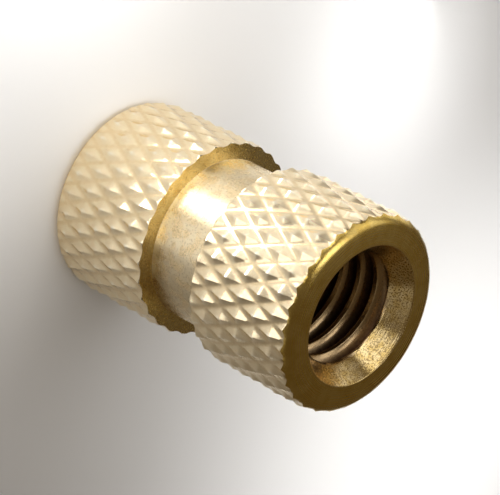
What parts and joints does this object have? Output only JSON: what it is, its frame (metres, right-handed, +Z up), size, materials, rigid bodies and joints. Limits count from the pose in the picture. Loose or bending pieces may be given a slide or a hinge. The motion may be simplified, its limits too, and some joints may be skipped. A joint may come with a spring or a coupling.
{
  "type": "threaded insert",
  "caption": "Cylindrical brass insert with diamond-knurled bands either side of a plain neck and a threaded hole right through, countersunk at both ends.",
  "frame": {"origin": "centre of the lower end face, which the insert stands on", "axes": "+Z up along the insert's axis, towards its other end face; X and Y across it, with +X through a point where two grooves of the knurl cross"},
  "size_m": [0.0074, 0.0074, 0.012],
  "materials": {
    "brass": "turned and knurled, satin"
  },
  "bodies": {
    "root": {"insert_body": "brass"}
  },
  "joints": []
}
